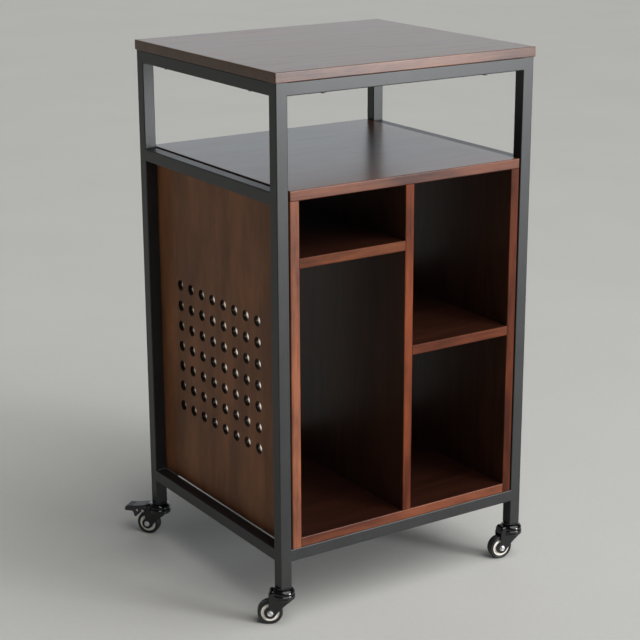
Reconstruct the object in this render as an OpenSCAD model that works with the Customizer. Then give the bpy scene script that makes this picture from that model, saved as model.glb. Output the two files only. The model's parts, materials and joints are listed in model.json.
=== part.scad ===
// Bar cart: a welded square-tube frame on four swivel casters, with a board on top
// and an open-fronted wooden cabinet hung between the legs.
// X runs across the front from left to right, Y from front to back, Z up.
// The origin is on the floor under the middle of the frame. All sizes in millimetres.

/* [Frame] */
// Outside width of the tube frame
frame_w = 476; // [420:1:600]
// Outside depth of the tube frame
frame_d = 430; // [400:1:560]
// Height of the frame's top, under the top board
frame_h = 852; // [780:1:950]
// Side of the square tube
tube = 20; // [20:0.5:25]
// Wall of the square tube
tube_wall = 1.2; // [1:0.1:2]
// Outside corner radius of the square tube
tube_round = 1.5; // [1:0.1:2]
// Height of the foot of each leg, where its caster starts
leg_foot = 62; // [62:1:70]
// Height of the top of the bottom rails
low_rail_top = 124.5; // [120:0.5:150]
// Height of the top of the two side rails beside the middle shelf
mid_rail_top = 691; // [660:1:740]

/* [Boards] */
// Thickness of every board
board = 16; // [15:0.5:19]
// Radius of the eased edges
ease = 1.5; // [0.5:0.1:2]
// How far the top board stands out past the frame
top_overhang = 2; // [0:0.5:10]
// Gap between the cabinet's sides and the tubes
side_gap = 2.5; // [2:0.1:4]
// Height of the cabinet's top face, which is the middle shelf
cabinet_top_z = 692.5; // [670:0.5:740]
// How far the upright divider stands right of the middle
divider_shift = 1.5; // [0:0.5:10]
// Height of the underside of the shelf in the left column
left_shelf_z = 573; // [520:1:610]
// Height of the underside of the shelf in the right column
right_shelf_z = 401; // [300:1:480]

/* [Perforated side] */
// Diameter of the holes in the left side
hole_d = 18; // [14:1:20]
// Distance between hole centres
hole_pitch = 35; // [30:1:36]
// Number of holes from front to back
hole_cols = 8; // [6:1:8]
// Number of rows of holes
hole_rows = 7; // [5:1:8]
// Height of the lowest row
hole_low_z = 260.5; // [240:0.5:300]
// How far the pattern sits behind the middle
hole_back_shift = 6; // [0:1:10]

/* [Casters] */
// Diameter of the wheels
wheel_d = 40; // [36:1:40]
// Width of the wheels
wheel_w = 15; // [12:1:16]
// How far the wheel centre trails behind the swivel axis
trail = 21; // [20:0.5:22]
// Degrees that the front left wheel is turned back from pointing straight left
turn_front_left = 31; // [0:1:60]
// Degrees that the front right wheel is turned back from pointing straight left
turn_front_right = 10; // [0:1:60]
// Degrees that the back left wheel is turned back from pointing straight left
turn_back_left = 52; // [0:1:60]
// Degrees that the back right wheel is turned back from pointing straight left
turn_back_right = 30; // [0:1:60]

/* [Hidden] */
$fn = 64;
CORNERS = ["front_left", "front_right", "back_left", "back_right"];
// Only the two back casters have a brake
BRAKED = [2, 3];

// Place of each leg's middle, in the order of CORNERS
leg_x = frame_w / 2 - tube / 2;
leg_y = frame_d / 2 - tube / 2;
leg_at = [[-leg_x, -leg_y], [leg_x, -leg_y], [-leg_x, leg_y], [leg_x, leg_y]];
caster_turn = [turn_front_left, turn_front_right, turn_back_left, turn_back_right];

// Rails run between the legs
rail_len_x = frame_w - 2 * tube;
rail_len_y = frame_d - 2 * tube;

// Cabinet
cab_w = frame_w - 2 * tube - 2 * side_gap;
cab_bottom_z = low_rail_top;
side_x = cab_w / 2 - board / 2;
floor_z = cab_bottom_z + board;
ceiling_z = cabinet_top_z - board;
col_left = -cab_w / 2 + board;
col_right = cab_w / 2 - board;
div_left = divider_shift - board / 2;
div_right = divider_shift + board / 2;

// Screws and dowels
fit = 0.05;
screw_r = 2;
screw_head_r = 4;
screw_head_h = 2.6;
screw_bite = 11;
screw_clear = 1.5;
dowel_r = 4;
dowel_len = 24;
dowel_hole_len = 25;
dowel_y = 150;
top_screw_x = 150;
top_screw_y = 130;
low_screw_x = 120;

// Casters, drawn with the swivel axis at x = 0 and the wheel trailing towards -X
wheel_r = wheel_d / 2;
tread_round = 2.5;
ring_r = 14.6;
core_inset = 0.9;
core_w = wheel_w - 2 * core_inset;
cap_r = 9.8;
cap_t = 1;
axle_r = 3;
axle_head_r = 4.6;
axle_head_t = 3;
arm_gap = 0.8;
arm_t = 2.5;
arm_in = wheel_w / 2 + arm_gap;
arm_out = arm_in + arm_t;
hub_end_r = 9.5;
stem_r = 4;
race_r = 13;
race_t = 1.8;
swivel_gap = 0.3;
rivet_r = 7;
rivet_t = 2.4;
rivet_clear = 1;
insert_len = 30;
insert_w = tube - 2 * tube_wall - 0.1;
stem_short = 2;
crown_r = 19;
crown_low = wheel_d + 2;
crown_top = leg_foot - race_t - swivel_gap;
crown_web = 47.5;
crown_rim = 3;
crown_shoulder = 6;
hood_back = trail + 1;
hood_top = 55;
hood_round = 4;
hub_at = [-trail, wheel_r];

// Fork arm: how far it reaches in front of the swivel axis, how thick its band is there,
// how far its back stands behind the hub, and where its front edge leaves the hub
arm_front = 12;
arm_band = 2;
arm_back = 2.5;
arm_back_z = wheel_r + 9;
arm_leave = [6.5, -6.9];

// Brake pedal: its pin, its shoe and the bent plate's profile, behind the hood
pin_at = [-28, 44];
pin_r = 1.5;
pin_head_r = 2.4;
pin_head_t = 0.8;
lug_r = 4;
shoe_at = [-42, 34.5];
shoe_r = 2.5;
plate_t = 1.7;
pedal_front = [-23.5, 55];
pedal_crease = [-58.5, 49];
pedal_nose = [-63.5, 45.5];
pedal_tip_z = 41;
skirt_back = [-47, 42];
skirt_notch = [-37, 41];
pedal_gap = 0.35;
skirt_t = 1.6;
pedal_in = arm_out + pedal_gap;
pedal_out = pedal_in + skirt_t;

// ---------- shared shapes ----------

// A rounded rectangle w by d about the middle
module rounded_rect(w, d, r) {
    square([w - 2 * r, d], center = true);
    square([w, d - 2 * r], center = true);
    for (x = [-1, 1], y = [-1, 1])
        translate([x * (w / 2 - r), y * (d / 2 - r)]) circle(r);
}

// A length of square tube standing on z = 0
module square_tube(len) {
    linear_extrude(len) difference() {
        rounded_rect(tube, tube, tube_round);
        square(tube - 2 * tube_wall, center = true);
    }
}

// Tube lying along X or along Y about the middle of its length
module tube_x(len) { rotate([0, 90, 0]) translate([0, 0, -len / 2]) square_tube(len); }
module tube_y(len) { rotate([90, 0, 0]) translate([0, 0, -len / 2]) square_tube(len); }

// A board x by y by z with its lowest corner at the origin and its edges eased
module eased_board(x, y, z) {
    translate([x / 2, y / 2, z / 2]) intersection() {
        translate([0, 0, -z / 2]) linear_extrude(z) rounded_rect(x, y, ease);
        rotate([90, 0, 0]) translate([0, 0, -y / 2]) linear_extrude(y) rounded_rect(x, z, ease);
        rotate([90, 0, 90]) translate([0, 0, -x / 2]) linear_extrude(x) rounded_rect(y, z, ease);
    }
}

// A board whose front and back edges alone are eased, because its ends meet other boards.
// across names the thin direction: "x" for an upright, "z" for a shelf
module butt_board(x, y, z, across) {
    if (across == "x")
        translate([x / 2, y / 2, 0]) linear_extrude(z) rounded_rect(x, y, ease);
    else
        translate([0, y / 2, z / 2]) rotate([90, 0, 90]) linear_extrude(x) rounded_rect(y, z, ease);
}

// A round bar or its clearance hole along X, centred on the origin
module bar_x(r, len) { rotate([0, 90, 0]) cylinder(r = r, h = len, center = true); }

// A wood screw standing on its head, which hangs below z = 0
module screw(len) {
    cylinder(r = screw_r, h = len);
    translate([0, 0, -screw_head_h]) cylinder(r = screw_head_r, h = screw_head_h);
}

// Blind hole for a screw's point, up from z = 0
module screw_hole() { translate([0, 0, -1]) cylinder(r = screw_r + fit, h = screw_bite + screw_clear); }

// ---------- welded frame ----------

module leg(i) {
    color("#2b2c2e") translate([leg_at[i][0], leg_at[i][1], leg_foot]) square_tube(frame_h - leg_foot);
}

// Rails across the front or back, drilled for screws that stand up through them
module drilled_rail_x(side, top, hole_x) {
    color("#2b2c2e") translate([0, side * leg_y, top - tube / 2]) difference() {
        tube_x(rail_len_x);
        for (x = [-1, 1])
            translate([x * hole_x, 0, -tube]) cylinder(r = screw_r + fit, h = 2 * tube);
    }
}

module top_rail_y(side) {
    color("#2b2c2e") translate([side * leg_x, 0, frame_h - tube / 2]) difference() {
        tube_y(rail_len_y);
        for (y = [-1, 1])
            translate([0, y * top_screw_y, -tube]) cylinder(r = screw_r + fit, h = 2 * tube);
    }
}

module plain_rail_y(side, top) {
    color("#2b2c2e") translate([side * leg_x, 0, top - tube / 2]) tube_y(rail_len_y);
}

// Threaded plug pressed into the foot of each leg
module leg_inserts() {
    color("#1c1c1e") for (p = leg_at) translate([p[0], p[1], leg_foot]) difference() {
        translate([0, 0, insert_len / 2]) cube([insert_w, insert_w, insert_len], center = true);
        translate([0, 0, -1]) cylinder(r = stem_r + fit, h = insert_len + 2);
    }
}

// ---------- top board ----------

module top_screw_places() {
    for (x = [-1, 1], y = [-1, 1]) {
        translate([x * top_screw_x, y * leg_y, 0]) children();
        translate([x * leg_x, y * top_screw_y, 0]) children();
    }
}

module top_board() {
    w = frame_w + 2 * top_overhang;
    d = frame_d + 2 * top_overhang;
    color("#5a4436") difference() {
        translate([-w / 2, -d / 2, frame_h]) eased_board(w, d, board);
        translate([0, 0, frame_h]) top_screw_places() screw_hole();
    }
}

module top_board_screws() {
    color("silver") translate([0, 0, frame_h - tube]) top_screw_places() screw(tube + screw_bite);
}

// ---------- cabinet ----------

// Hidden dowels: each entry is [x, z, direction]
dowel_rows = [
    for (x = [-side_x, divider_shift, side_x]) [x, ceiling_z, "z"],
    [divider_shift, floor_z, "z"],
    for (x = [col_left, col_right]) [x, cab_bottom_z + board / 2, "x"],
    for (x = [col_left, div_left]) [x, left_shelf_z + board / 2, "x"],
    for (x = [div_right, col_right]) [x, right_shelf_z + board / 2, "x"]
];

module dowels(r, len) {
    for (d = dowel_rows, y = [-dowel_y, dowel_y]) translate([d[0], y, d[1]]) {
        if (d[2] == "z") cylinder(r = r, h = len, center = true);
        else bar_x(r, len);
    }
}

module dowel_holes() { dowels(dowel_r + fit, dowel_hole_len); }

module cabinet_dowels() { color("#d8b98a") dowels(dowel_r, dowel_len); }

module cabinet_top() {
    color("#5a4436") difference() {
        translate([-cab_w / 2, -frame_d / 2, ceiling_z]) eased_board(cab_w, frame_d, board);
        dowel_holes();
    }
}

module cabinet_bottom() {
    color("#5a4436") difference() {
        translate([col_left, -frame_d / 2, cab_bottom_z])
            butt_board(col_right - col_left, frame_d, board, "z");
        dowel_holes();
        translate([0, 0, cab_bottom_z]) cabinet_screw_places() screw_hole();
    }
}

module cabinet_side(side) {
    difference() {
        translate([side * side_x - board / 2, -frame_d / 2, cab_bottom_z])
            butt_board(board, frame_d, ceiling_z - cab_bottom_z, "x");
        dowel_holes();
    }
}

module cabinet_side_left() {
    color("#46342a") difference() {
        cabinet_side(-1);
        for (c = [0 : hole_cols - 1], r = [0 : hole_rows - 1]) {
            hole_y = hole_back_shift + (c - (hole_cols - 1) / 2) * hole_pitch;
            translate([-side_x, hole_y, hole_low_z + r * hole_pitch]) bar_x(hole_d / 2, 2 * board);
        }
    }
}

module cabinet_side_right() { color("#46342a") cabinet_side(1); }

module divider() {
    color("#5a3a28") difference() {
        translate([div_left, -frame_d / 2, floor_z]) butt_board(board, frame_d, ceiling_z - floor_z, "x");
        dowel_holes();
    }
}

module shelf(x0, x1, z) {
    color("#5a3a28") difference() {
        translate([x0, -frame_d / 2, z]) butt_board(x1 - x0, frame_d, board, "z");
        dowel_holes();
    }
}

module cabinet_screw_places() {
    for (x = [-1, 1], y = [-1, 1]) translate([x * low_screw_x, y * leg_y, 0]) children();
}

module cabinet_screws() {
    color("silver") translate([0, 0, low_rail_top - tube]) cabinet_screw_places() screw(tube + screw_bite);
}

// ---------- casters ----------

// Puts a caster part under leg i, turned the way that its wheel trails
module at_caster(i) {
    translate([leg_at[i][0], leg_at[i][1], 0]) rotate([0, 0, -caster_turn[i]]) children();
}

// Puts a part at the wheel's centre with its axis along the caster's Y
module at_wheel(i) { at_caster(i) translate([-trail, 0, wheel_r]) rotate([90, 0, 0]) children(); }

// Extrudes a side outline, drawn in X and Z, across Y from y0 to y1
module side_plate(y0, y1) { translate([0, y1, 0]) rotate([90, 0, 0]) linear_extrude(y1 - y0) children(); }

// The same plate on both sides of the wheel
module side_plates(y0, y1) {
    side_plate(y0, y1) children();
    side_plate(-y1, -y0) children();
}

// Fixed stem: screwed into the leg, race against the leg's foot, riveted end inside the crown
module stem(i) {
    rivet_top = crown_web - swivel_gap;
    stem_top = leg_foot + insert_len - stem_short;
    color("#b8b8ba") at_caster(i) {
        translate([0, 0, rivet_top]) cylinder(r = stem_r, h = stem_top - rivet_top);
        translate([0, 0, leg_foot - race_t]) cylinder(r = race_r, h = race_t);
        translate([0, 0, rivet_top - rivet_t]) cylinder(r = rivet_r, h = rivet_t);
    }
}

// Domed crown of the fork about the swivel axis
module crown() {
    h = crown_top - crown_low;
    translate([0, 0, crown_low]) rotate_extrude() {
        square([crown_r - crown_shoulder, h]);
        square([crown_r - crown_rim, h - crown_shoulder]);
        translate([0, crown_rim]) square([crown_r, h - crown_rim - crown_shoulder]);
        intersection() {
            translate([crown_r - crown_rim, crown_rim]) circle(crown_rim);
            square([crown_r, h]);
        }
        intersection() {
            translate([crown_r - crown_shoulder, h - crown_shoulder]) circle(crown_shoulder);
            square([crown_r, h]);
        }
    }
}

// Hood between the crown and the back of the arms, rounded along its top edges
module hood() {
    flat = arm_out - hood_round;
    translate([-hood_back, 0, 0]) rotate([90, 0, 90]) linear_extrude(hood_back) {
        translate([-arm_out, crown_low]) square([2 * arm_out, hood_top - hood_round - crown_low]);
        translate([-flat, crown_low]) square([2 * flat, hood_top - crown_low]);
        for (s = [-1, 1]) translate([s * flat, hood_top - hood_round]) circle(hood_round);
    }
}

// One fork arm seen from the side, from under the crown down round the axle.
// A braked caster's arm has a lug that carries the pedal's pin
module arm_outline(braked) {
    back = -trail - arm_back;
    difference() {
        union() {
            translate(hub_at) circle(hub_end_r);
            polygon([
                [back, crown_low + arm_band], [arm_front, crown_low + arm_band],
                [arm_front, crown_low - arm_band], hub_at + arm_leave, hub_at, [back, arm_back_z]
            ]);
            if (braked) {
                translate(pin_at) circle(lug_r);
                translate(pin_at - [0, lug_r]) square([lug_r - pin_at[0] - hood_back, 2 * lug_r]);
            }
        }
        translate(hub_at) circle(axle_r + fit);
        if (braked) translate(pin_at) circle(pin_r + fit);
    }
}

module fork(i) {
    color("#101012") at_caster(i) difference() {
        union() {
            crown();
            hood();
            side_plates(arm_in, arm_out) arm_outline(i > 1);
        }
        cylinder(r = stem_r + fit, h = leg_foot);
        cylinder(r = rivet_r + rivet_clear, h = crown_web);
    }
}

// Bolt through the hub, with its six-sided head and nut outside the arms
module axle(i) {
    color("silver") at_wheel(i) {
        cylinder(r = axle_r, h = 2 * arm_out, center = true);
        for (s = [-1, 1]) translate([0, 0, s * (arm_out + axle_head_t / 2)])
            cylinder(r = axle_head_r, h = axle_head_t, center = true, $fn = 6);
    }
}

module tyre(i) {
    color("#0e0e0f") at_wheel(i) rotate_extrude() difference() {
        union() {
            translate([0, -wheel_w / 2]) square([wheel_r - tread_round, wheel_w]);
            translate([0, tread_round - wheel_w / 2]) square([wheel_r, wheel_w - 2 * tread_round]);
            for (s = [-1, 1]) intersection() {
                translate([wheel_r - tread_round, s * (wheel_w / 2 - tread_round)]) circle(tread_round);
                translate([0, -wheel_w]) square([wheel_r, 2 * wheel_w]);
            }
        }
        translate([0, -wheel_w]) square([ring_r, 2 * wheel_w]);
    }
}

module wheel_core(i) {
    color("#ece4d6") at_wheel(i) difference() {
        cylinder(r = ring_r, h = core_w, center = true);
        cylinder(r = axle_r + fit, h = wheel_w, center = true);
    }
}

module hub_caps(i) {
    color("#141416") at_wheel(i) difference() {
        for (s = [-1, 1])
            translate([0, 0, s * (core_w + cap_t) / 2]) cylinder(r = cap_r, h = cap_t, center = true);
        cylinder(r = axle_r + 4 * fit, h = wheel_w + 2, center = true);
    }
}

// Plate of the pedal: sloping back from the hood to its crease, then bent down to the tip
module pedal_plate() {
    under = [0, -plate_t];
    inside = [plate_t, 0];
    polygon([
        pedal_front, pedal_crease, pedal_nose, [pedal_nose[0], pedal_tip_z],
        [pedal_nose[0], pedal_tip_z] + inside, pedal_nose + inside - [0, 1],
        pedal_crease + under + [0.5, 0], pedal_front + under
    ]);
}

// Skirt of the pedal, which hangs from the plate's edge round the pin and the shoe
module pedal_skirt() {
    difference() {
        union() {
            polygon([
                pedal_front, pedal_crease, pedal_nose, [pedal_nose[0], pedal_tip_z], skirt_back,
                shoe_at - [shoe_r, 0], shoe_at, skirt_notch, pin_at - [0, lug_r],
                [pedal_front[0], pin_at[1]]
            ]);
            translate(shoe_at) circle(shoe_r);
            translate(pin_at) circle(lug_r);
        }
        translate(pin_at) circle(pin_r + fit);
    }
}

// Bent plate that the foot presses, with a skirt each side and the shoe between them
module brake_pedal(i) {
    color("#232326") at_caster(i) {
        side_plate(-pedal_out, pedal_out) pedal_plate();
        side_plate(-pedal_out, pedal_out) translate(shoe_at) circle(shoe_r);
        side_plates(pedal_in, pedal_out) pedal_skirt();
    }
}

module brake_pin(i) {
    color("silver") at_caster(i) {
        side_plate(-pedal_out, pedal_out) translate(pin_at) circle(pin_r);
        side_plates(pedal_out, pedal_out + pin_head_t) translate(pin_at) circle(pin_head_r);
    }
}

// ---------- the parts, one node each ----------

for (i = [0 : 3]) leg(i);
drilled_rail_x(-1, frame_h, top_screw_x);  // top_rail_front
drilled_rail_x(1, frame_h, top_screw_x);  // top_rail_back
top_rail_y(-1);  // top_rail_left
top_rail_y(1);  // top_rail_right
plain_rail_y(-1, mid_rail_top);  // mid_rail_left
plain_rail_y(1, mid_rail_top);  // mid_rail_right
drilled_rail_x(-1, low_rail_top, low_screw_x);  // bottom_rail_front
drilled_rail_x(1, low_rail_top, low_screw_x);  // bottom_rail_back
plain_rail_y(-1, low_rail_top);  // bottom_rail_left
plain_rail_y(1, low_rail_top);  // bottom_rail_right
leg_inserts();
top_board();
top_board_screws();
cabinet_top();
cabinet_bottom();
cabinet_side_left();
cabinet_side_right();
divider();
shelf(col_left, div_left, left_shelf_z);  // shelf_left
shelf(div_right, col_right, right_shelf_z);  // shelf_right
cabinet_dowels();
cabinet_screws();
for (i = [0 : 3]) stem(i);
for (i = [0 : 3]) fork(i);
for (i = [0 : 3]) axle(i);
for (i = [0 : 3]) tyre(i);
for (i = [0 : 3]) wheel_core(i);
for (i = [0 : 3]) hub_caps(i);
for (i = BRAKED) brake_pedal(i);
for (i = BRAKED) brake_pin(i);
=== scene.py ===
import json
import math

import bmesh
import bpy
from mathutils import Matrix, Vector


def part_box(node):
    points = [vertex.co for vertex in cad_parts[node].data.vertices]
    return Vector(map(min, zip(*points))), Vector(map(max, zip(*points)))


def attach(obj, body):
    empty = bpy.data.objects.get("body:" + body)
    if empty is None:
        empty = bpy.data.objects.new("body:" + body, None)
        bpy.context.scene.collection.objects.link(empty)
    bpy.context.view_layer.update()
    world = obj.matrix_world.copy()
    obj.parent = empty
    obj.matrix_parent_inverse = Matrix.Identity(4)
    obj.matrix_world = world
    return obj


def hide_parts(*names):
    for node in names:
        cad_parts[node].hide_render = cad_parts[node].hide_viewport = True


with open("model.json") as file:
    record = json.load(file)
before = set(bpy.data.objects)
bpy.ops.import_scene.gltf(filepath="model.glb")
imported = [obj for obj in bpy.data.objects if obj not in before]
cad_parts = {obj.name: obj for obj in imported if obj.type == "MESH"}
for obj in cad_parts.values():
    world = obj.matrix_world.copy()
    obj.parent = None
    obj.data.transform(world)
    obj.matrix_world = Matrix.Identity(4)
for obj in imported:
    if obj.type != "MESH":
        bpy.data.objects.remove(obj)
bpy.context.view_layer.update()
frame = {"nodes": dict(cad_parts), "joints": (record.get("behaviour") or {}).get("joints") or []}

# ---------------------------------------------------------------------------------------
# Welded frame: four legs and ten rails of 20 mm square steel tube, cut square, welded at
# the inside corners, ground flush outside and powder coated satin charcoal in one go.
# ---------------------------------------------------------------------------------------


class Signal:
    """One output of a shader node. Arithmetic on signals adds the Math nodes for it."""

    def __init__(self, finish, socket):
        self.finish = finish
        self.socket = socket

    def _math(self, operation, first, second):
        return self.finish.node("Math", {"operation": operation}, {0: first, 1: second})

    def __add__(self, other):
        return self._math("ADD", self, other)

    def __radd__(self, other):
        return self._math("ADD", other, self)

    def __sub__(self, other):
        return self._math("SUBTRACT", self, other)

    def __rsub__(self, other):
        return self._math("SUBTRACT", other, self)

    def __mul__(self, other):
        return self._math("MULTIPLY", self, other)

    def __rmul__(self, other):
        return self._math("MULTIPLY", other, self)

    def __truediv__(self, other):
        return self._math("DIVIDE", self, other)

    def __lt__(self, other):
        return self._math("LESS_THAN", self, other)


class Finish:
    """The shader of a material or of the sky, while its nodes are being joined up."""

    def __init__(self, owner):
        owner.use_nodes = True
        self.owner = owner
        self.tree = owner.node_tree
        self.tree.nodes.clear()

    def node(self, kind, settings=None, inputs=None, output=0):
        """Adds a node of a type, makes its settings, then fills or links its sockets."""
        made = self.tree.nodes.new("ShaderNode" + kind)
        for key, value in (settings or {}).items():
            setattr(made, key, value)
        for key, value in (inputs or {}).items():
            if isinstance(value, Signal):
                self.tree.links.new(value.socket, made.inputs[key])
            else:
                made.inputs[key].default_value = value
        return Signal(self, made.outputs[output]) if made.outputs else None

    def place(self):
        """Position on the piece in metres."""
        return self.node("TexCoord", output="Object")

    def part(self, vector, axis):
        """One part of a vector: X, Y or Z."""
        return self.node("SeparateXYZ", {}, {"Vector": vector}, output=axis)

    def stretched(self, vector, factors, shift=(0, 0, 0)):
        """A position moved by shift and then multiplied, axis by axis."""
        moved = self.node("VectorMath", {"operation": "ADD"}, {0: vector, 1: shift})
        return self.node("VectorMath", {"operation": "MULTIPLY"}, {0: moved, 1: factors})

    def noise(self, vector, scale, detail=3.0, roughness=0.5, distortion=0.0):
        """Soft noise from 0 to 1."""
        return self.node("TexNoise", {}, {
            "Vector": vector, "Scale": scale, "Detail": detail,
            "Roughness": roughness, "Distortion": distortion})

    def spread(self, value, low, high):
        """Value brought from low..high to 0..1 and held there."""
        return self.node("MapRange", {"clamp": True},
                         {"Value": value, "From Min": low, "From Max": high})

    def mix(self, factor, first, second):
        """Two colours mixed by factor. Each is a signal or (red, green, blue)."""
        first, second = (colour if isinstance(colour, Signal) else (*colour, 1)
                         for colour in (first, second))
        return self.node("Mix", {"data_type": "RGBA"},
                         {0: factor, 6: first, 7: second}, output=2)

    def bump(self, height, depth):
        """Normal for a height from 0 to 1 that stands depth metres high."""
        return self.node("Bump", {},
                         {"Height": height, "Distance": depth, "Strength": 1.0})

    def done(self, **sockets):
        """Closes the material with one shader. Words in socket names are joined by _."""
        inputs = {key.replace("_", " "): value for key, value in sockets.items()}
        shader = self.node("BsdfPrincipled", {}, inputs)
        self.node("OutputMaterial", {}, {"Surface": shader})
        return self.owner


def wear(nodes, material):
    """Gives CAD nodes a finish."""
    for name in nodes:
        slots = frame["nodes"][name].data.materials
        slots.clear()
        slots.append(material)


def satin_coat():
    """Powder coat on steel: fine orange peel, soft clouding and faint polishing streaks."""
    finish = Finish(bpy.data.materials.new("satin_charcoal_coat"))
    place = finish.place()
    peel = finish.noise(place, 900.0, detail=2.0)
    cloud = finish.noise(place, 14.0, detail=4.0, roughness=0.6)
    streak = finish.noise(finish.stretched(place, (260.0, 260.0, 14.0)), 1.0, detail=2.0)
    fleck = finish.spread(finish.noise(place, 420.0, detail=1.0), 0.66, 0.74)
    tone = finish.mix(finish.spread(cloud * 0.7 + streak * 0.3, 0.3, 0.7),
                      (0.010, 0.0102, 0.0110), (0.018, 0.0182, 0.0195))
    colour = finish.mix(fleck * 0.25, tone, (0.070, 0.070, 0.070))
    return finish.done(Base_Color=colour, Roughness=0.29 + cloud * 0.12 + streak * 0.05,
                       Normal=finish.bump(peel * 0.6 + cloud * 0.4, 0.00006), IOR=1.46)


frame_coat = satin_coat()
legs = [name for name in frame["nodes"]
        if name.startswith("leg_") and name != "leg_inserts"]
rails = [name for name in frame["nodes"] if "_rail_" in name]
wear(legs + rails, frame_coat)


def skin(mesh, rings):
    """Adds the faces between rings of equally many points, and closes both ends."""
    count = len(rings[0])
    for first, second in zip(rings, rings[1:]):
        for i in range(count):
            j = (i + 1) % count
            mesh.faces.new((first[i], first[j], second[j], second[i]))
    mesh.faces.new(rings[0][::-1])
    mesh.faces.new(rings[-1])


bead_size = 0.0016
bead_sides = 6
bead_ripples = 9
bead_steps = 6 * bead_ripples
ripple_height = 0.10
end_size, end_growth = 0.3, 12


def weld_bead(mesh, corner, out_a, out_b, along, length):
    """Adds one bead to the mesh: a rippled fillet in the corner between two faces."""
    rings = []
    for step in range(bead_steps + 1):
        share = step / bead_steps
        ripple = 1.0 + ripple_height * math.cos(share * bead_ripples * math.tau)
        taper = min(1.0, end_growth * share + end_size,
                    end_growth * (1 - share) + end_size)
        size = bead_size * ripple * taper
        at = corner + along * (share - 0.5) * length
        ring = [mesh.verts.new(at)]
        for side in range(bead_sides + 1):
            angle = side / bead_sides * math.pi / 2
            belly = 0.80 + 0.20 * abs(math.cos(2 * angle))
            way = out_a * math.cos(angle) + out_b * math.sin(angle)
            ring.append(mesh.verts.new(at + way * size * belly))
        rings.append(ring)
    skin(mesh, rings)


tube_half = 0.010
tube_ease = 0.0015
ease_steps = 5


def ground_weld(mesh, end, into_leg, across):
    """Adds the weld metal that carries a rail's outside over the leg's eased edge."""
    inset = tube_half - tube_ease
    section = []
    for quarter, (side, level) in enumerate(((1, 1), (-1, 1), (-1, -1), (1, -1))):
        for step in range(ease_steps + 1):
            angle = (quarter + step / ease_steps) * math.pi / 2
            section.append(across * (side * inset + tube_ease * math.cos(angle))
                           + up * (level * inset + tube_ease * math.sin(angle)))
    skin(mesh, [[mesh.verts.new(end + offset + into_leg * reach) for offset in section]
                for reach in (0.0, tube_ease)])


soft_crease = math.radians(38)


def finished_piece(name, mesh, material, crease=soft_crease):
    """Turns a bmesh into an object with one finish and smooth shading up to an angle."""
    bmesh.ops.recalc_face_normals(mesh, faces=mesh.faces)
    data = bpy.data.meshes.new(name)
    mesh.to_mesh(data)
    mesh.free()
    data.materials.append(material)
    data.shade_smooth()
    data.set_sharp_from_angle(angle=crease)
    piece = bpy.data.objects.new(name, data)
    bpy.context.scene.collection.objects.link(piece)
    return piece


up = Vector((0, 0, 1))
bead_share = 0.8
beads, ground = bmesh.new(), bmesh.new()
for name in rails:
    low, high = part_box(name)
    middle = (low + high) / 2
    run = Vector((1, 0, 0)) if name.endswith(("front", "back")) else Vector((0, 1, 0))
    across = up.cross(run)
    reach = abs((high - low).dot(run)) / 2
    width = bead_share * abs((high - low).dot(across))
    levels = [(low.z, -up)]
    if name.startswith("mid") or name in ("bottom_rail_left", "bottom_rail_right"):
        levels.append((high.z, up))
    for way in (-run, run):
        for level, away in levels:
            corner = Vector((middle.x, middle.y, level)) + way * reach
            weld_bead(beads, corner, -way, away, across, width)
        ground_weld(ground, middle + way * reach, way, across)
weld_beads = finished_piece("weld_beads", beads, frame_coat)
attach(weld_beads, "cart")
ground_welds = finished_piece("ground_welds", ground, frame_coat, crease=0.1)
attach(ground_welds, "cart")

# ---------------------------------------------------------------------------------------
# Top board and cabinet: 16 mm boards, stained dark walnut and lacquered semi-gloss over
# the grain, which stands upright in upright boards. Dowels and screws hold them.
# ---------------------------------------------------------------------------------------


def shade(colour, share):
    """A colour made darker or lighter."""
    return tuple(share * part for part in colour)


lying, upright = 0, 2
ring_bands = 7.0
painted_light_depth = (0.0014, 0.0008)
edge_depth = (0.0018, 0.0004)
# Depths into the left side at which the hole walls turn from painted shade to the pale painted
# highlight
hole_highlight_depth = (0.0085, 0.0115)


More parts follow.
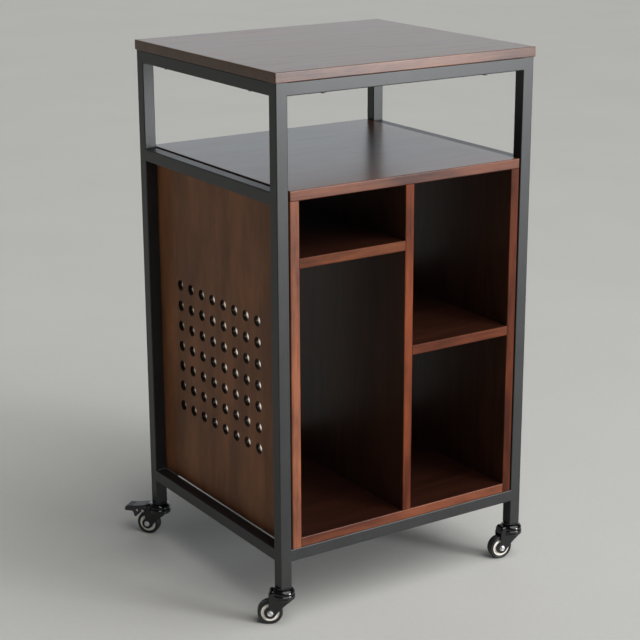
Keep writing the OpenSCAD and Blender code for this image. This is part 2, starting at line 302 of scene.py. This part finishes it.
def lacquer_board(node, grain, shift, stain, gloss, coat, edge, edge_coat=0.0,
                  figure_share=0.22, pore_share=0.55, left_face_painted_light=None, hole_mask=None):
    """Stained wood under a clear lacquer, with its grain along one axis and its front
    edge stained redder. The outside of the left side can take a lighter copy of the
    stain in its outer skin: painted light, for a face that the lamps leave too dark."""
    finish = Finish(bpy.data.materials.new(node + "_wood"))
    place = finish.place()
    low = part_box(node)[0]

    def grained(across, lengthwise, **texture):
        """Noise drawn out along the grain."""
        factors = [across, across, across]
        factors[grain] = lengthwise
        return finish.noise(finish.stretched(place, factors, shift), 1.0, **texture)

    def depth(axis):
        """Distance into the board from its low face on an axis."""
        return finish.part(place, axis) - low["XYZ".index(axis)]

    figure = grained(9.0, 0.63, roughness=0.55, distortion=1.3)
    bands = finish.node("Math", {"operation": "FRACT"}, {0: figure * ring_bands})
    rings = finish.spread(bands, 0.0, 0.85) * finish.spread(bands, 1.0, 0.88)
    fibre = grained(420.0, 9.0)
    pores = finish.spread(fibre, 0.60, 0.70)
    cloud = grained(22.0, 6.0, detail=4.0, roughness=0.6)
    streak = grained(14.0, 0.98, detail=5.0, roughness=0.65)

    tone = rings * figure_share + fibre * 0.30 + cloud * (0.85 - figure_share)
    colour = finish.mix(finish.spread(tone, 0.28, 0.82), *stain)
    # Painted light: a lighter, mottled copy of the stain in the outer skin of the left side's
    # outside face
    if left_face_painted_light:
        mottle = finish.spread(cloud * 0.85 + fibre * 0.15, 0.36, 0.66)
        colour = finish.mix(finish.spread(depth("X"), *painted_light_depth), colour,
                            finish.mix(mottle, *left_face_painted_light))
    # Dark stain for the pores, and painted shade on the hole walls near the outer face
    pore_and_hole_shade = shade(stain[0], 0.45)
    colour = finish.mix(pores * pore_share, colour, pore_and_hole_shade)

    mottle = finish.spread(cloud * 0.5 + streak * 0.3 + fibre * 0.2, 0.42, 0.60)
    edge_light = (1.45 * edge[0], 1.75 * edge[1], 1.50 * edge[2])
    edge_tone = finish.mix(mottle, shade(edge, 0.42), edge_light)
    edge_tone = finish.mix(pores * 0.5, edge_tone, shade(edge, 0.30))
    on_edge = finish.spread(depth("Y"), *edge_depth)
    colour = finish.mix(on_edge, colour, edge_tone)

    # Inside the holes: the wall near the outer face is painted dark as shade, and the deeper
    # wall very pale, partly the raw wood of the drilled walls and partly a painted highlight
    # from light coming in at the open front
    if hole_mask:
        raw_wood_highlight = finish.mix(fibre, (0.78, 0.64, 0.50), (0.94, 0.84, 0.71))
        hole_highlight_share = finish.spread(depth("X") + 0.004 * cloud, *hole_highlight_depth)
        colour = finish.mix(hole_mask(finish, place), colour,
                            finish.mix(hole_highlight_share, pore_and_hole_shade, raw_wood_highlight))
    ripple = finish.noise(place, 55.0, detail=2.0)
    wear([node], finish.done(
        Base_Color=colour, Roughness=gloss + 0.10 * cloud + 0.06 * pores + on_edge * 0.12,
        Normal=finish.bump(ripple * 0.7 + (1.0 - pores) * 0.3, 0.00012), IOR=1.20,
        Coat_Weight=coat - on_edge * (coat - edge_coat), Coat_Roughness=0.24))


hole_radius = 0.009
hole_columns = 8
hole_rows = 7
hole_slack = 0.00012
on_face = 1e-5
# The rims of the holes are the points of the outer face well inside its outline
panel_low, panel_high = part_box("cabinet_side_left")
rims = [v.co for v in frame["nodes"]["cabinet_side_left"].data.vertices
        if v.co.x < panel_low.x + on_face
        and panel_low.y + hole_radius < v.co.y < panel_high.y - hole_radius
        and panel_low.z + hole_radius < v.co.z < panel_high.z - hole_radius]
first_y = min(v.y for v in rims) + hole_radius
last_y = max(v.y for v in rims) - hole_radius
first_z = min(v.z for v in rims) + hole_radius
pitch = (last_y - first_y) / (hole_columns - 1)


def drilled_wall(finish, place):
    """1 on the walls of the drilled holes and 0 elsewhere."""
    gaps = []
    for axis, first, count in (("Y", first_y, hole_columns), ("Z", first_z, hole_rows)):
        cell = (finish.part(place, axis) - first) / pitch
        nearest = finish.node("Math", {"operation": "ROUND"}, {0: cell})
        held = finish.node("Clamp", {}, {"Value": nearest, "Min": 0.0, "Max": count - 1.0})
        gaps.append(cell - held)
    across, rise = gaps
    return across * across + rise * rise < ((hole_radius + hole_slack) / pitch) ** 2


# The top board's walnut stain, then darker copies of the same stain for the cabinet's boards:
# painted shade for the dim inside of the cabinet and for the space under the top board
top_stain = ((0.060, 0.031, 0.019), (0.135, 0.070, 0.036))
shaded_middle_stain = ((0.042, 0.016, 0.009), (0.080, 0.030, 0.016))
shaded_floor_stain = ((0.014, 0.0044, 0.0027), (0.035, 0.0105, 0.0060))
shaded_shelf_stain = ((0.018, 0.0060, 0.0034), (0.050, 0.0160, 0.0085))
shaded_upright_stain = ((0.026, 0.0100, 0.0052), (0.060, 0.0230, 0.0120))
# A much lighter, golden copy of the stain for the outside of the left side: painted light
painted_light_outer_stain = ((0.150, 0.060, 0.025), (0.275, 0.113, 0.048))
# Each board's edge colour is the redder lipping stain and also painted light: lighter on the
# left of the front, darker on the right
lacquer_board("top_board", lying, (3.1, 1.7, 0.4), top_stain, gloss=0.30, coat=0.46,
              edge=(0.130, 0.045, 0.030), edge_coat=0.75, figure_share=0.12)
lacquer_board("cabinet_top", lying, (7.9, 2.2, 1.4), shaded_middle_stain, gloss=0.26,
              coat=0.55, edge=(0.120, 0.032, 0.018), edge_coat=0.35)
lacquer_board("cabinet_bottom", lying, (1.3, 5.6, 2.4), shaded_floor_stain, gloss=0.28,
              coat=0.40, edge=(0.125, 0.029, 0.014), edge_coat=0.20)
lacquer_board("shelf_left", lying, (2.8, 6.1, 9.4), shaded_floor_stain, gloss=0.28,
              coat=0.40, edge=(0.130, 0.032, 0.013))
lacquer_board("shelf_right", lying, (8.2, 3.7, 5.9), shaded_shelf_stain, gloss=0.28,
              coat=0.40, edge=(0.105, 0.022, 0.009))
lacquer_board("divider", upright, (4.6, 0.9, 3.3), shaded_upright_stain, gloss=0.30,
              coat=0.16, edge=(0.150, 0.029, 0.011))
lacquer_board("cabinet_side_right", upright, (9.6, 4.4, 7.1), shaded_upright_stain, gloss=0.30,
              coat=0.16, edge=(0.095, 0.018, 0.006))
lacquer_board("cabinet_side_left", upright, (6.2, 8.1, 5.3), shaded_upright_stain, gloss=0.42,
              coat=0.12, edge=(0.210, 0.058, 0.030), edge_coat=0.35, figure_share=0.10,
              pore_share=0.22, left_face_painted_light=painted_light_outer_stain, hole_mask=drilled_wall)


def bare_beech():
    """Glued dowels of bare beech: pale, with short flecks along the grain."""
    finish = Finish(bpy.data.materials.new("bare_beech"))
    place = finish.place()
    fleck = finish.noise(finish.stretched(place, (300.0, 900.0, 300.0)), 1.0)
    colour = finish.mix(fleck, (0.62, 0.42, 0.25), (0.78, 0.60, 0.40))
    return finish.done(Base_Color=colour, Roughness=0.55 + 0.2 * fleck,
                       Normal=finish.bump(fleck, 0.0001))


wear(["cabinet_dowels"], bare_beech())

# ---------------------------------------------------------------------------------------
# Fastenings: steel wood screws, zinc plated and darkened, driven up through the rails,
# and moulded plastic plugs in the feet of the legs, threaded for the casters' stems.
# ---------------------------------------------------------------------------------------


def zinc_plate(name, brightness):
    """Zinc: cool grey metal with fine turning lines and duller blotches."""
    finish = Finish(bpy.data.materials.new(name))
    place = finish.place()
    lines = finish.noise(finish.stretched(place, (900.0, 900.0, 5200.0)), 1.0, detail=2.0)
    blotch = finish.noise(place, 160.0)
    colour = finish.mix(blotch, shade((0.70, 0.71, 0.72), brightness),
                        shade((0.95, 0.95, 0.94), brightness))
    return finish.done(Base_Color=colour, Metallic=1.0, Roughness=0.30 + 0.22 * blotch,
                       Normal=finish.bump(lines, 0.00002))


def moulded_plastic():
    """Plug plastic: dull black with a fine spark-eroded grain."""
    finish = Finish(bpy.data.materials.new("plug_plastic"))
    grain = finish.noise(finish.place(), 1500.0, detail=2.0)
    colour = finish.mix(grain, (0.012, 0.012, 0.013), (0.022, 0.022, 0.023))
    return finish.done(Base_Color=colour, Roughness=0.55 + 0.15 * grain,
                       Normal=finish.bump(grain, 0.00004))


wear(["top_board_screws", "cabinet_screws"], zinc_plate("passivated_zinc", 0.16))
wear(["leg_inserts"], moulded_plastic())

# ---------------------------------------------------------------------------------------
# Caster forks: steel pressings lacquered gloss black. Each turns on a stem screwed into
# the leg: a round crown, a hood behind it, and an arm down each side of the wheel.
# ---------------------------------------------------------------------------------------

corners = ["front_left", "front_right", "back_left", "back_right"]
plain_corners, braked_corners = corners[:2], corners[2:]
joints = {joint["name"]: joint for joint in frame["joints"]}
wheel_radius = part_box("tyre_front_left")[1].z / 2
caster_at = {}
for corner in corners:
    swivel = Vector(joints["swivel_" + corner]["pos_m"])
    axle_way = Vector(joints["roll_" + corner]["axis"])
    turned = math.atan2(axle_way.x, -axle_way.y)
    under_leg = Matrix.Translation((swivel.x, swivel.y, 0))
    caster_at[corner] = under_leg @ Matrix.Rotation(turned, 4, "Z")
hub_world = Vector(joints["roll_front_left"]["pos_m"])
hub = caster_at["front_left"].inverted() @ hub_world


def hang_under(ends, name, mesh, material, body, node=None):
    drawn = finished_piece(name, mesh, material)
    for corner in ends:
        piece = bpy.data.objects.new(name + corner, drawn.data.copy())
        piece.data.transform(caster_at[corner])
        bpy.context.scene.collection.objects.link(piece)
        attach(piece, body + corner)
        if node:
            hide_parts(node + corner)
    bpy.data.objects.remove(drawn)


def lathe(mesh, profile, steps, centre, axis, closed=False, radius_at=None):
    """Adds a turned body. The profile lists (radius, height along the axis). A closed
    profile makes a ring, and radius_at(radius, height, angle) gives a body flats."""
    side = axis.orthogonal().normalized()
    other = axis.cross(side)
    rings = []
    for radius, height in profile:
        ring = []
        for step in range(steps if radius > 0 else 1):
            angle = math.tau * step / steps
            reach = radius_at(radius, height, angle) if radius_at else radius
            spoke = side * math.cos(angle) + other * math.sin(angle)
            ring.append(mesh.verts.new(centre + axis * height + spoke * reach))
        rings.append(ring)
    for first, second in zip(rings, rings[1:] + ([rings[0]] if closed else [])):
        for step in range(steps):
            after = (step + 1) % steps
            points = [first[step % len(first)], second[step % len(second)],
                      second[after % len(second)], first[after % len(first)]]
            mesh.faces.new(list(dict.fromkeys(points)))


def arc(cx, cy, radius, start, end, steps):
    """Points on an arc, angles in degrees."""
    angles = [math.radians(start + (end - start) * i / steps) for i in range(steps + 1)]
    return [(cx + radius * math.cos(angle), cy + radius * math.sin(angle))
            for angle in angles]


def plate(mesh, outline, near, far):
    """Adds a flat plate: an outline of (x, z) points between two distances along Y."""
    skin(mesh, [[mesh.verts.new((x, y, z)) for x, z in outline] for y in (near, far)])


crown_radius = 0.019
crown_low = 2 * wheel_radius + 0.002
crown_top = 0.0599
crown_lip = 0.0026
crown_shoulder = 0.0078
crown_flat = 0.0095
groove_z = 0.0505
groove_depth, groove_half = 0.0022, 0.0014
arm_inner = 0.0083
arm_outer = 0.0108
arm_overlap = 0.004
arm_hub_radius = 0.0095
arm_back = hub.x - 0.0025
arm_front = 0.012
arm_leaves_hub = -46.7
sweep_steps = 8
hood_end = -0.0225
hood_top = 0.0575
hood_round = 0.0048
# How far from the hood's back end each section stands, and how much it droops
hood_droop = ((0.005, 0.0), (0.0024, 0.0006), (0.0008, 0.0020), (0.0, 0.0042))
lug_radius = 0.004
pin_x, pin_z = -0.028, 0.044
wheel_axis = Vector((0, 1, 0))


def gloss_black():
    """Black lacquer on pressed steel: wet gloss over a faint ripple, with dust specks."""
    finish = Finish(bpy.data.materials.new("caster_gloss_black"))
    place = finish.place()
    ripple = finish.noise(place, 130.0, detail=2.0)
    dust = finish.spread(finish.noise(place, 800.0, detail=1.0), 0.68, 0.76)
    colour = finish.mix(dust * 0.3, (0.0025, 0.0025, 0.0032), (0.03, 0.03, 0.03))
    return finish.done(Base_Color=colour, Roughness=0.08 + 0.06 * ripple + 0.2 * dust,
                       Normal=finish.bump(ripple, 0.00010), IOR=1.52)


def melted(mesh, voxel, rounds):
    """Melts overlapping closed shells into one and softens the creases between them."""
    bmesh.ops.recalc_face_normals(mesh, faces=mesh.faces)
    data = bpy.data.meshes.new("melt")
    mesh.to_mesh(data)
    mesh.free()
    melt = bpy.data.objects.new("melt", data)
    bpy.context.scene.collection.objects.link(melt)
    remesh = melt.modifiers.new("remesh", "REMESH")
    remesh.mode = "VOXEL"
    remesh.voxel_size = voxel
    soften = melt.modifiers.new("soften", "SMOOTH")
    soften.factor, soften.iterations = 0.5, rounds
    melt.modifiers.new("thin", "DECIMATE").ratio = 0.45
    graph = bpy.context.evaluated_depsgraph_get()
    result = bmesh.new()
    result.from_object(melt, graph)
    bpy.data.objects.remove(melt)
    return result


def arm_outline(braked):
    """Side view of a fork arm: a sweeping front edge, round the hub and up the back. A
    braked arm has a lug for the pedal's pin."""
    x, z = hub.x, hub.z
    leave = math.radians(arm_leaves_hub)
    start = (arm_front, crown_low - 0.002)
    end = (x + arm_hub_radius * math.cos(leave), z + arm_hub_radius * math.sin(leave))
    bend = ((start[0] + end[0]) / 2 - 0.0032, (start[1] + end[1]) / 2 + 0.0018)
    points = [(arm_back, crown_low + arm_overlap), (arm_front, crown_low + arm_overlap)]
    for step in range(sweep_steps + 1):
        t = step / sweep_steps
        points.append(tuple((1 - t) ** 2 * a + 2 * t * (1 - t) * b + t * t * c
                            for a, b, c in zip(start, bend, end)))
    back_angle = math.degrees(math.acos((arm_back - x) / arm_hub_radius))
    points += arc(x, z, arm_hub_radius, arm_leaves_hub, back_angle - 360, 26)[1:]
    if braked:
        points += arc(pin_x, pin_z, lug_radius, -80, -270, 10)
    return points


def fork_mesh(braked):
    """Crown, hood and arms of one pressing."""
    mesh = bmesh.new()
    crown = [(0.0, crown_low), (crown_radius - crown_lip, crown_low)]
    crown += arc(crown_radius - crown_lip, crown_low + crown_lip, crown_lip, -90, 35, 6)
    crown += [(crown_radius - 0.0004, groove_z - groove_half),
              (crown_radius - groove_depth, groove_z)]
    crown += arc(crown_radius - crown_shoulder, crown_top - crown_shoulder,
                 crown_shoulder - 0.0006, 8, 84, 8)
    crown += [(crown_flat, crown_top), (0.0, crown_top)]
    lathe(mesh, crown, 72, Vector((0, 0, 0)), up)

    rim, brow = arm_outer - hood_round, hood_top - hood_round
    skirt, ceiling, droop_from = crown_low - 0.004, crown_low + 0.0012, crown_low + 0.005
    roof = [(-arm_outer, skirt)] + arc(-rim, brow, hood_round, 180, 90, 5)
    roof += arc(rim, brow, hood_round, 90, 0, 5) + [(arm_outer, skirt)]
    roof += [(arm_inner, skirt), (arm_inner, ceiling), (-arm_inner, ceiling),
             (-arm_inner, skirt)]
    roof.reverse()
    sections = [[mesh.verts.new((0.0, y, z)) for y, z in roof]]
    for ahead, droop in hood_droop:
        sections.append([
            mesh.verts.new((hood_end + ahead, y, z - droop if z > droop_from else z))
            for y, z in roof])
    skin(mesh, sections)
    for side in (-1, 1):
        plate(mesh, arm_outline(braked), side * arm_inner, side * arm_outer)
    return melted(mesh, voxel=0.0005, rounds=5)


caster_black = gloss_black()
wear(["stem_" + corner for corner in corners], caster_black)
for braked, ends in ((False, plain_corners), (True, braked_corners)):
    hang_under(ends, "fork_pressing_", fork_mesh(braked), caster_black,
               "swivel_", "fork_")

# ---------------------------------------------------------------------------------------
# Wheels: a hard black tread moulded round a cream nylon core, with a black dust cap
# pressed into each face of the core.
# ---------------------------------------------------------------------------------------

tread_width = 0.015
shoulder = 0.0026
core_radius = 0.0146
core_width = 0.0132
core_bore = 0.00305
cap_radius = 0.0098
cap_bore = 0.0033


def tread_rubber():
    """Black polyurethane: soft sheen, fine moulding grain and greyer scuffs."""
    finish = Finish(bpy.data.materials.new("tread_black"))
    place = finish.place()
    grain = finish.noise(place, 1100.0, detail=2.0)
    scuff = finish.noise(place, 240.0)
    colour = finish.mix(scuff, (0.006, 0.006, 0.006), (0.015, 0.0145, 0.014))
    return finish.done(Base_Color=colour, Roughness=0.34 + 0.22 * scuff,
                       Normal=finish.bump(grain, 0.00004), IOR=1.48)


def cream_nylon():
    """Moulded nylon: warm cream, faintly cloudy, with a waxy sheen."""
    finish = Finish(bpy.data.materials.new("cream_nylon"))
    cloud = finish.noise(finish.place(), 150.0)
    colour = finish.mix(cloud, (0.84, 0.78, 0.69), (0.95, 0.92, 0.87))
    return finish.done(Base_Color=colour, Roughness=0.30 + 0.15 * cloud,
                       Normal=finish.bump(cloud, 0.00005), IOR=1.52)


def cap_plastic():
    """Dust cap: glossy black moulding, faintly mottled by its mould."""
    finish = Finish(bpy.data.materials.new("cap_plastic"))
    marks = finish.noise(finish.place(), 600.0, detail=2.0)
    colour = finish.mix(marks, (0.004, 0.004, 0.005), (0.010, 0.009, 0.009))
    return finish.done(Base_Color=colour, Roughness=0.26 + 0.10 * marks,
                       Normal=finish.bump(marks, 0.00003))


def mirrored(profile):
    """A closed ring's profile from its half above the middle plane."""
    return profile + [(radius, -height) for radius, height in reversed(profile)]


# From the core out: the seat and its bead, the shoulder, and the crowned tread
tyre = bmesh.new()
half = tread_width / 2
tyre_half = [(core_radius, half - 0.0006), (core_radius + 0.0006, half),
             (core_radius + 0.0016, half), (core_radius + 0.0019, half - 0.0003),
             (core_radius + 0.0023, half)]
tyre_half += arc(wheel_radius - shoulder, half - shoulder, shoulder, 90, 12, 8)
tyre_half += [(wheel_radius - 0.00003, half - 0.0032), (wheel_radius, 0.0011),
              (wheel_radius - 0.0002, 0.0008)]
lathe(tyre, mirrored(tyre_half), 96, hub, wheel_axis, closed=True)
hang_under(corners, "wheel_tread_", tyre, tread_rubber(),
           "wheel_", "tyre_")

# From the bore out: the recess under the cap, a raised ring, a dish and the rim
core = bmesh.new()
face = core_width / 2
recess, dish = face - 0.0012, face - 0.0008
core_half = [(core_bore, recess), (cap_radius - 0.0002, recess), (cap_radius, face),
             (cap_radius + 0.0007, face), (cap_radius + 0.0013, dish),
             (core_radius - 0.0013, dish), (core_radius - 0.0008, face),
             (core_radius, face)]
lathe(core, mirrored(core_half), 96, hub, wheel_axis, closed=True)
hang_under(corners, "wheel_disc_", core, cream_nylon(),
           "wheel_", "wheel_core_")

# A rounded outer rim, a shallow groove and a raised middle
caps = bmesh.new()
groove, crest = face + 0.0004, face + 0.0010
cap = [(cap_bore, face), (cap_radius, face), (cap_radius, face + 0.0006),
       (cap_radius - 0.0004, crest), (cap_radius - 0.0018, crest),
       (cap_radius - 0.0024, groove), (0.0062, groove), (0.0056, crest),
       (cap_bore, crest)]
for way in (-1, 1):
    lathe(caps, cap, 72, hub, wheel_axis * way, closed=True)
hang_under(corners, "dust_caps_", caps, cap_plastic(),
           "wheel_", "hub_caps_")

# ---------------------------------------------------------------------------------------
# Axles: a zinc-plated steel bolt through both arms and the hub, with a washer and a
# chamfered hexagon at each end: the bolt's head on one side and its nut on the other.
# ---------------------------------------------------------------------------------------

axle_radius = 0.003
washer_radius = 0.0048
washer_height = 0.0006
head_corner = 0.0041
head_height = 0.003
dimple_radius = 0.0026


def solid_rod(mesh, radius, half_length, steps, centre):
    """Adds a plain rod that lies along the wheel's axis."""
    lathe(mesh, [(0.0, -half_length), (radius, -half_length), (radius, half_length),
                 (0.0, half_length)], steps, centre, wheel_axis)


def six_sided(radius, height, angle):
    """Radius of a hexagon whose corners a cone has chamfered near its top."""
    turned = (angle % (math.tau / 6)) - math.tau / 12
    flat = head_corner * math.cos(math.tau / 12) / math.cos(turned)
    return min(flat, radius)


bolt = bmesh.new()
base, crest = arm_outer + washer_height, arm_outer + head_height
washer = [(axle_radius, arm_outer), (washer_radius - 0.0002, arm_outer),
          (washer_radius, arm_outer + 0.0002), (washer_radius - 0.0001, base),
          (axle_radius, base)]
hexagon = [(0.0, base), (head_corner, base), (head_corner, crest - 0.0008),
           (head_corner - 0.0003, crest - 0.0005), (head_corner - 0.0007, crest - 0.0002),
           (head_corner - 0.0010, crest), (dimple_radius, crest),
           (dimple_radius - 0.0003, crest - 0.0004), (0.0, crest - 0.0004)]
for way in (-1, 1):
    lathe(bolt, washer, 48, hub, wheel_axis * way, closed=True)
    lathe(bolt, hexagon, 72, hub, wheel_axis * way, radius_at=six_sided)
solid_rod(bolt, axle_radius, arm_outer, 32, hub)
zinc = zinc_plate("bright_zinc", 0.85)
hang_under(corners, "axle_bolt_", bolt, zinc, "swivel_", "axle_")

# ---------------------------------------------------------------------------------------
# Foot brakes on the back casters: a bent steel plate with a skirt down each side, hung on
# a riveted pin, with a round shoe that the foot presses down on the wheel.
# ---------------------------------------------------------------------------------------

pedal_half = 0.01275
pedal_wall = 0.0016
pedal_bend = 0.0022
shoe_x, shoe_z, shoe_radius = -0.042, 0.0345, 0.0025
# The plate's top and the skirt's lower edge, from the hood back to the nose: x, top, low
pedal_line = [(-0.0235, 0.0550, 0.0440), (-0.0250, 0.0548, 0.0412),
              (-0.0280, 0.0543, 0.0401), (-0.0310, 0.0538, 0.0412),
              (-0.0340, 0.0532, 0.0416), (-0.0370, 0.0527, 0.0408),
              (-0.0395, 0.0523, 0.0350), (-0.0410, 0.0520, 0.0324),
              (-0.0430, 0.0517, 0.0324), (-0.0445, 0.0514, 0.0345),
              (-0.0470, 0.0510, 0.0418), (-0.0520, 0.0504, 0.0416),
              (-0.0570, 0.0499, 0.0413), (-0.0595, 0.0493, 0.0411),
              (-0.0613, 0.0482, 0.0411), (-0.0626, 0.0466, 0.0412),
              (-0.0632, 0.0448, 0.0414)]
nose_thickness = 0.0017
nose_margin = 0.0006
narrow_from, narrow_rate = -0.0585, 0.45
rib_places = (-0.0505, -0.0540, -0.0575)
rib_line_x, rib_line_z, rib_fall = -0.0470, 0.0511, 0.11
rib_radius = 0.0008
rib_margin = 0.003


def pedal_paint():
    """Pedal: black steel rubbed grey and dull by shoes."""
    finish = Finish(bpy.data.materials.new("pedal_black"))
    place = finish.place()
    rub = finish.noise(finish.stretched(place, (120.0, 400.0, 120.0)), 1.0)
    grain = finish.noise(place, 900.0, detail=2.0)
    colour = finish.mix(rub, (0.012, 0.012, 0.013), (0.040, 0.040, 0.042))
    return finish.done(Base_Color=colour, Roughness=0.36 + 0.18 * rub,
                       Normal=finish.bump(grain, 0.00005))


def pedal_reach(x):
    """Half the pedal's width at x. It narrows toward the nose."""
    return pedal_half - narrow_rate * max(0.0, narrow_from - x)


def rib_top(x):
    """Height of the ribs at x. It falls toward the nose with the plate."""
    return rib_line_z + (x - rib_line_x) * rib_fall


pedal = bmesh.new()
stations = []
for x, top, low in pedal_line:
    reach = pedal_reach(x)
    rim = reach - pedal_bend
    outside = [(-reach, low)] + arc(-rim, top - pedal_bend, pedal_bend, 180, 90, 4)
    outside += arc(rim, top - pedal_bend, pedal_bend, 90, 0, 4) + [(reach, low)]
    inner, bend = reach - pedal_wall, pedal_bend - pedal_wall
    ceiling = top - pedal_wall - bend
    inside = [(inner, low)] + arc(inner - bend, ceiling, bend, 0, 90, 4)
    inside += arc(-inner + bend, ceiling, bend, 90, 180, 4) + [(-inner, low)]
    stations.append([pedal.verts.new((x, y, z)) for y, z in outside + inside])
skin(pedal, stations)
nose_x, nose_top, nose_low = pedal_line[-1]
nose_reach = pedal_reach(nose_x) - nose_margin
nose = [(nose_x, nose_low), (nose_x, nose_top - 0.0003),
        (nose_x + nose_thickness, nose_top + 0.001), (nose_x + nose_thickness, nose_low)]
plate(pedal, nose, -nose_reach, nose_reach)
for x in rib_places:
    rib = arc(x, rib_top(x) - 0.0003, rib_radius, 0, 180, 6)
    plate(pedal, rib, -pedal_half + rib_margin, pedal_half - rib_margin)
solid_rod(pedal, shoe_radius, pedal_half, 32, Vector((shoe_x, 0, shoe_z)))
hang_under(braked_corners, "foot_plate_", melted(pedal, voxel=0.00042, rounds=3),
           pedal_paint(), "pedal_", "brake_pedal_")

pin_at = Vector((pin_x, 0, pin_z))
pin_radius = 0.0015
rivets = bmesh.new()
dome = [(0.0, pedal_half - 0.0002), (0.0024, pedal_half - 0.0002),
        (0.0024, pedal_half + 0.0002), (0.0019, pedal_half + 0.0006),
        (0.0010, pedal_half + 0.0008), (0.0, pedal_half + 0.0008)]
for way in (-1, 1):
    lathe(rivets, dome, 40, pin_at, wheel_axis * way)
solid_rod(rivets, pin_radius, pedal_half, 32, pin_at)
hang_under(braked_corners, "pedal_pin_", rivets, zinc,
           "swivel_", "brake_pin_")

shoe_rivet_at = Vector((-0.0385, 0, 0.0445))
shoe_rivets = bmesh.new()
dome = [(0.0, pedal_half - 0.0003), (0.0019, pedal_half - 0.0003),
        (0.0019, pedal_half + 0.0002), (0.0012, pedal_half + 0.0006),
        (0.0, pedal_half + 0.0007)]
for way in (-1, 1):
    lathe(shoe_rivets, dome, 32, shoe_rivet_at, wheel_axis * way)
hang_under(braked_corners, "shoe_rivets_", shoe_rivets, zinc, "pedal_")

# ---------------------------------------------------------------------------------------
# Studio: a plain pale floor, a softbox at the front right, a broad soft light from
# above, a paler patch of sky behind the cart for the lacquer to reflect, and the camera.
# ---------------------------------------------------------------------------------------


def pale_floor():
    """Pale screed with soft clouds and fine grit."""
    finish = Finish(bpy.data.materials.new("pale_floor"))
    place = finish.place()
    cloud = finish.noise(place, 1.7, detail=5.0, roughness=0.6)
    grit = finish.noise(place, 90.0)
    colour = finish.mix(cloud * 0.6 + grit * 0.4, (0.46, 0.46, 0.44), (0.56, 0.56, 0.54))
    return finish.done(Base_Color=colour, Roughness=0.6 + 0.2 * grit,
                       Normal=finish.bump(grit, 0.0002))


floor_size = 60.0
floor_mesh = bmesh.new()
bmesh.ops.create_grid(floor_mesh, x_segments=4, y_segments=4, size=floor_size / 2)
floor = finished_piece("studio_floor", floor_mesh, pale_floor())


def hang(name, light, at, aim, power, colour):
    """Hangs a lamp that the camera itself doesn't see."""
    light.energy, light.color = power, colour
    lamp = bpy.data.objects.new(name, light)
    lamp.location = at
    lamp.rotation_euler = (Vector(aim) - Vector(at)).to_track_quat("-Z", "Y").to_euler()
    lamp.visible_camera = False
    bpy.context.scene.collection.objects.link(lamp)


softbox = bpy.data.lights.new("softbox", "AREA")
softbox.shape, softbox.size, softbox.size_y = "RECTANGLE", 1.3, 1.0
hang("softbox", softbox, at=(2.35, -4.0, 1.00), aim=(0, 0, 0.5), power=180,
     colour=(0.96, 0.98, 1.0))
skylight = bpy.data.lights.new("skylight", "SUN")
skylight.angle = math.radians(65)
hang("skylight", skylight, at=(0.75, -1.5, 2.6), aim=(0, 0, 0), power=2.75,
     colour=(1.0, 0.985, 0.96))

pale_way = (0.50, 0.86, 0.0)
dim_sky, pale_gain = 0.06, 0.88
sky = Finish(bpy.data.worlds.new("studio_sky"))
direction = sky.node("TexCoord", output="Generated")
facing = sky.node("VectorMath", {"operation": "DOT_PRODUCT"},
                  {0: direction, 1: pale_way}, output="Value")
behind = sky.spread(facing, 0.60, 0.90)
low_band = sky.spread(sky.part(direction, "Z"), 0.75, 0.25)
glow = sky.node("Background", {}, {
    "Color": (0.90, 0.95, 1.0, 1), "Strength": dim_sky + behind * low_band * pale_gain})
sky.node("OutputWorld", {}, {"Surface": glow})
bpy.context.scene.world = sky.owner
bpy.context.scene.view_settings.view_transform = "Standard"

camera_at = (-1.5167, -2.2940, 1.2384)
camera_turn, camera_dip, camera_roll = -33.049, 16.826, -0.226
camera_data = bpy.data.cameras.new("camera")
camera_data.sensor_width = 36.0
camera_data.lens = 96.72
camera = bpy.data.objects.new("camera", camera_data)
camera.matrix_world = (Matrix.Translation(camera_at)
                       @ Matrix.Rotation(math.radians(camera_turn), 4, "Z")
                       @ Matrix.Rotation(math.radians(90 - camera_dip), 4, "X")
                       @ Matrix.Rotation(math.radians(camera_roll), 4, "Z"))
bpy.context.scene.collection.objects.link(camera)
bpy.context.scene.camera = camera
